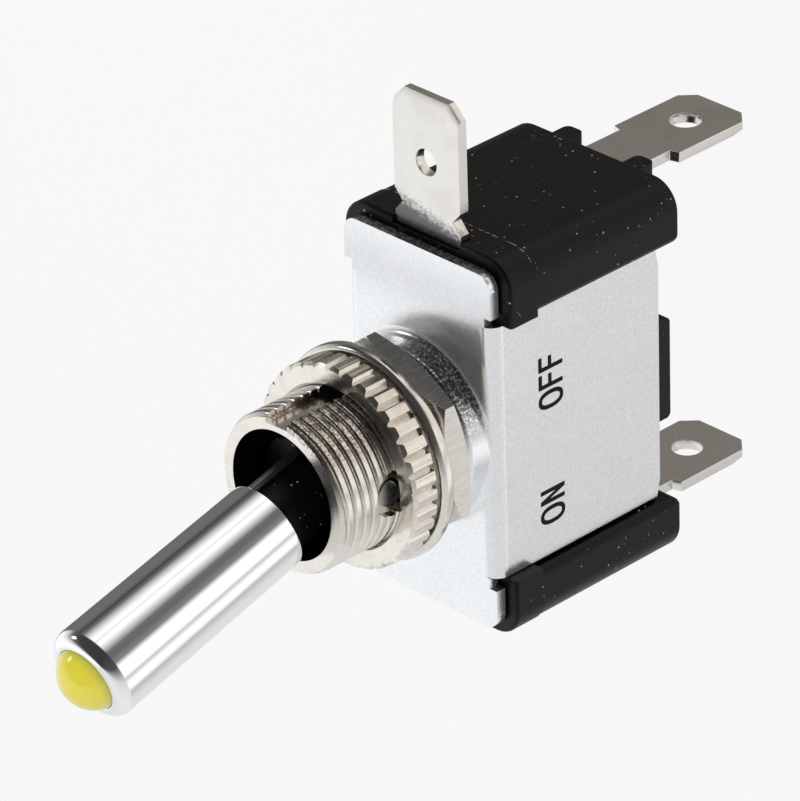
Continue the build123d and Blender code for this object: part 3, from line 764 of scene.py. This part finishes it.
def makeSleeve():
    look = sleeve
    bend = look["tipRadius"] - look["mouth"] - 0.03
    rear = look["rearRound"]
    profile = [(look["bore"], look["start"])]
    profile += arc((look["rootRadius"] - rear, look["start"] + rear), rear, -90, 0, 6)
    profile += arc((look["tipRadius"] - bend, look["end"] - bend), bend, 0, 90, 20)
    profile += [(look["mouth"], look["end"] - 0.02), (look["mouth"], look["lampSeat"]),
                (look["bore"], look["lampSeat"])]
    mesh = lathe("sleevePolished", profile, 192)
    shadeByAngle(mesh, 40)
    mesh.transform(leverPlace)
    return newPiece("sleevePolished", mesh, "chrome_sleeve", "lever", "lever_sleeve")


makeSleeve()

lamp = {"base": 17.0, "seat": 18.1, "flange": 2.75, "radius": 2.42, "shoulder": 24.1, "tip": 25.8}


def makeLampPiece():
    look = lamp
    rise = look["tip"] - look["shoulder"]
    dome = (look["radius"] ** 2 + rise ** 2) / (2 * rise)
    start = math.degrees(math.asin((dome - rise) / dome))
    profile = [(0.0, look["base"]), (look["flange"], look["base"]), (look["flange"], look["seat"]),
               (look["radius"], look["seat"])]
    profile += arc((0.0, look["tip"] - dome), dome, start, 90, 24)[:-1]
    profile += [(0.0, look["tip"])]
    mesh = lathe("lampDome", profile, 128, closed=False)
    shadeByAngle(mesh, 40)
    mesh.transform(leverPlace)
    return newPiece("lampDome", mesh, "lamp_lens", "lever", "led_lamp")


makeLampPiece()
print("lever pieces made")

# Pressed and moulded pieces get the small edge rounding that the solids leave out

softEdges = {
    "bracket": ("zinc_plate", 0.07), "housing": ("black_moulding", 0.12),
    "hex_nut": ("nickel_plate", 0.08), "terminal_load": ("tinned_blade", 0.05),
    "terminal_supply": ("tinned_blade", 0.05), "terminal_ground": ("tinned_blade", 0.05),
    "pivot_pin": ("steel_pin", 0.03),
}
for node, (slotName, width) in softEdges.items():
    made = softened(node, slotName, "body", width * mm)
    if node == "hex_nut":
        made.data.materials[0] = makeMilled()
    if node == "bracket":
        made.data.materials.append(makeSheared())
        made.data.materials.append(makeZinc("zincFrontFinish", True))
        # the boss finish has painted dark reflection spots on one side
        made.data.materials.append(makeZinc("zincBossPaintedReflectionFinish", darkReflectionSpots=True))
        for face in made.data.polygons:
            if face.center.z > -4.4 * mm:
                face.material_index = 3
            elif face.normal.z > 0.95 and face.center.z > -4.6 * mm:
                face.material_index = 2
            elif abs(face.normal.y) > 0.85:
                face.material_index = 1
    print("softened", node)

# Each letter is a few strokes on the +X side plate, read towards +Y

lettering = {"height": 2.35, "stroke": 0.33, "baseline": -11.3, "gap": 0.24, "depth": 0.012,
             "plateFace": 7.11, "roundWidth": 1.45, "straightWidth": 1.15,
             "words": (("ON", -7.45), ("OFF", 1.7))}


def letterStrokes(letter, look):
    # closed outlines of (across, up) points
    h, s, w = look["height"], look["stroke"], look["straightWidth"]
    if letter == "F":
        return [[(0, 0), (s, 0), (s, h), (0, h)], [(s, h - s), (w, h - s), (w, h), (s, h)],
                [(s, h * 0.46), (w * 0.92, h * 0.46), (w * 0.92, h * 0.46 + s), (s, h * 0.46 + s)]]
    if letter == "N":
        return [[(0, 0), (s, 0), (s, h), (0, h)], [(w - s, 0), (w, 0), (w, h), (w - s, h)],
                [(s, h), (s, h - 2.6 * s), (w - s, 0), (w - s, 2.6 * s)]]
    return []


def roundLetter(look, steps=48, power=2.4):
    # the two rims of a narrow O
    rims = []
    for inset in (0.0, look["stroke"]):
        halfWidth = look["roundWidth"] / 2 - inset
        halfHeight = look["height"] / 2 + 0.03 - inset
        rim = []
        for k in range(steps):
            c, s = math.cos(2 * math.pi * k / steps), math.sin(2 * math.pi * k / steps)
            rim.append((look["roundWidth"] / 2 + math.copysign(abs(c) ** (2 / power), c) * halfWidth,
                        look["height"] / 2 + math.copysign(abs(s) ** (2 / power), s) * halfHeight))
        rims.append(rim)
    return rims


def makeWord(word, start, look):
    bm = bmesh.new()

    def vert(point, shift):
        return bm.verts.new((look["plateFace"] * mm, (start + shift + point[0]) * mm,
                             (look["baseline"] + point[1]) * mm))

    shift = 0.0
    for letter in word:
        if letter == "O":
            outer, inner = [[vert(p, shift) for p in rim] for rim in roundLetter(look)]
            for k in range(len(outer)):
                after = (k + 1) % len(outer)
                bm.faces.new((outer[k], outer[after], inner[after], inner[k]))
            shift += look["roundWidth"] + look["gap"]
        else:
            for outline in letterStrokes(letter, look):
                bm.faces.new([vert(p, shift) for p in outline])
            shift += look["straightWidth"] + look["gap"]
    raised = bmesh.ops.extrude_face_region(bm, geom=bm.faces[:])
    for part in raised["geom"]:
        if isinstance(part, bmesh.types.BMVert):
            part.co.x += look["depth"] * mm
    bmesh.ops.recalc_face_normals(bm, faces=bm.faces)
    mesh = bpy.data.meshes.new("word" + word)
    bm.to_mesh(mesh)
    bm.free()
    mesh.materials.append(inkFinish)
    return newPiece("word" + word, mesh, "black_moulding", "body")


inkFinish = newFinish("printedInkFinish", paint(14, 13, 13), 0.5, Specular_IOR_Level=0.12)[0]
for word, start in lettering["words"]:
    makeWord(word, start, lettering)
print("lettering made")


camera = {"place": (0.26199, 0.20544, 0.24637), "right": (0.70024, -0.02898, -0.71332),
          "up": (-0.33163, 0.87162, -0.36096), "lens": 271.57, "sensor": 36.0}


def makeCamera():
    data = bpy.data.cameras.new("photoCamera")
    data.lens = camera["lens"]
    data.sensor_width = camera["sensor"]
    data.sensor_fit = "HORIZONTAL"
    data.clip_start = 0.01
    right, up = Vector(camera["right"]).normalized(), Vector(camera["up"]).normalized()
    back = right.cross(up).normalized()
    up = back.cross(right)
    turn = Matrix((right, up, back)).transposed().to_4x4()
    view = bpy.data.objects.new("photoCamera", data)
    view.matrix_world = Matrix.Translation(camera["place"]) @ turn
    bpy.context.scene.collection.objects.link(view)
    bpy.context.scene.camera = view


# Studio seen by shiny surfaces: brightness by direction round the lever's axis, in degrees
studio = {"background": 0.93, "ambient": 0.95, "lean": 15.3, "aboveTint": (0.99, 1.0, 1.01, 1.0),
          "belowTint": (1.0, 0.94, 0.87, 1.0),
          "aboveFrom": -0.36, "aboveTo": -0.16, "belowFrom": -0.70, "belowTo": -0.56,
          "glint": (-0.80, 0.41, 0.437), "glintSize": 0.01, "glintLevel": 5.0}
studioPanels = {
    "above": ((-180, 1.0), (-154, 1.1), (-141, 0.86), (-125, 0.78), (-85, 0.85), (-40, 0.8), (-15, 0.72), (3, 0.4), (22, 0.08),
              (60, 0.04), (130, 0.05), (152, 0.12), (166, 0.6), (180, 0.95)),
    "middle": ((-180, 0.15), (-136, 0.15), (-133, 0.78), (-73, 0.76), (-61, 0.65), (-49, 0.53),
               (-37, 1.12), (-25, 1.12), (-13, 0.6), (-5, 1.12), (20, 1.12), (31, 0.24),
               (47, 0.14), (59, 0.16), (71, 0.6), (83, 1.08), (92, 1.08), (95, 0.8), (98, 1.08),
               (107, 1.05), (119, 0.6), (131, 0.16), (143, 0.06), (155, 0.15), (180, 0.16)),
    "below": ((-180, 0.3), (-150, 0.4), (-120, 0.65), (-60, 0.8), (0, 0.95), (60, 0.95),
              (105, 0.9), (125, 0.5), (142, 0.22), (160, 0.21), (180, 0.27)),
}


def makeWorld():
    world = bpy.data.worlds.new("studio")
    bpy.context.scene.world = world
    world.use_nodes = True
    graph = Graph(world.node_tree)
    seen = graph.node("ShaderNodeTexCoord", None, None, "Generated")
    upright = graph.node("ShaderNodeMapping", {"vector_type": "POINT"},
                         {"Vector": seen, "Rotation": (-math.radians(studio["lean"]), 0.0, 0.0)})
    across = graph.node("ShaderNodeSeparateXYZ", None, {0: upright}, "X")
    along = graph.node("ShaderNodeSeparateXYZ", None, {0: upright}, "Y")
    round_ = graph.node("ShaderNodeMath", {"operation": "ARCTAN2"}, {0: along, 1: across})
    share = round_ / (2 * math.pi) + 0.5
    rise = graph.node("ShaderNodeSeparateXYZ", None, {0: upright}, "Z")
    ramps = {}
    for label, panels in studioPanels.items():
        stops = [((angle + 180) / 360, grey(level)) for angle, level in panels]
        ramps[label] = graph.node("ShaderNodeValToRGB", {"stops": stops}, {"Fac": share})
    for label in ("above", "below"):
        ramps[label] = graph.node("ShaderNodeMix", {"data_type": "RGBA", "blend_type": "MULTIPLY"},
                                  {0: 1.0, 6: ramps[label], 7: studio[label + "Tint"]}, 2)
    sides = graph.mixed(rise.eased(studio["belowFrom"], studio["belowTo"]), ramps["below"],
                        ramps["middle"])
    panels = graph.mixed(rise.eased(studio["aboveFrom"], studio["aboveTo"]), sides,
                         ramps["above"])
    facing = graph.node("ShaderNodeVectorMath", {"operation": "DOT_PRODUCT"},
                        {0: seen, 1: studio["glint"]}, "Value")
    glint = facing.eased(0.9993 - studio["glintSize"], 0.9993)
    panels = graph.mixed(glint, panels, grey(studio["glintLevel"]))
    byCamera = graph.node("ShaderNodeLightPath", None, None, "Is Camera Ray")
    byGloss = graph.node("ShaderNodeLightPath", None, None, "Is Glossy Ray")
    plain = graph.mixed(byCamera, grey(studio["ambient"]), grey(studio["background"]))
    shown = graph.mixed(byGloss, plain, panels)
    background = world.node_tree.nodes["Background"]
    graph.feed(background.inputs["Color"], shown)
    background.inputs["Strength"].default_value = 1.0


floor = {"height": -0.075, "half": 1.5, "albedo": 0.55, "glow": 0.35}


def makeFloor():
    half, height = floor["half"], floor["height"]
    mesh = bpy.data.meshes.new("floor")
    mesh.from_pydata([(-half, -half, height), (half, -half, height), (half, half, height),
                      (-half, half, height)], [], [(0, 1, 2, 3)])
    material = bpy.data.materials.new("paleFloor")
    material.use_nodes = True
    graph = Graph(material.node_tree)
    shader = material.node_tree.nodes["Principled BSDF"]
    shader.inputs["Base Color"].default_value = grey(floor["albedo"])
    shader.inputs["Roughness"].default_value = 1.0
    shader.inputs["Specular IOR Level"].default_value = 0.0
    byCamera = graph.node("ShaderNodeLightPath", None, None, "Is Camera Ray")
    shader.inputs["Emission Strength"].default_value = 1.0
    graph.feed(shader.inputs["Emission Color"],
               graph.mixed(byCamera, grey(0.0), grey(floor["glow"])))
    mesh.materials.append(material)
    plane = bpy.data.objects.new("floor", mesh)
    bpy.context.scene.collection.objects.link(plane)
    plane.visible_glossy = False


lights = {
    "keyPanel": {"place": (-0.25, 0.35, 0.55), "size": 0.30, "power": 0.6},
    "sidePanel": {"place": (0.5, -0.2, 0.35), "size": 0.25, "power": 0.4},
}


def makeLights():
    for name, look in lights.items():
        data = bpy.data.lights.new(name, "AREA")
        data.size = look["size"]
        data.energy = look["power"]
        light = bpy.data.objects.new(name, data)
        aim = Vector(look["place"])
        light.matrix_world = Matrix.Translation(aim) @ aim.to_track_quat("Z", "Y").to_matrix().to_4x4()
        light.visible_glossy = False
        bpy.context.scene.collection.objects.link(light)


makeCamera()
makeWorld()
makeFloor()
makeLights()
bpy.context.scene.view_settings.view_transform = "Standard"
print("camera, world, floor and lights made")
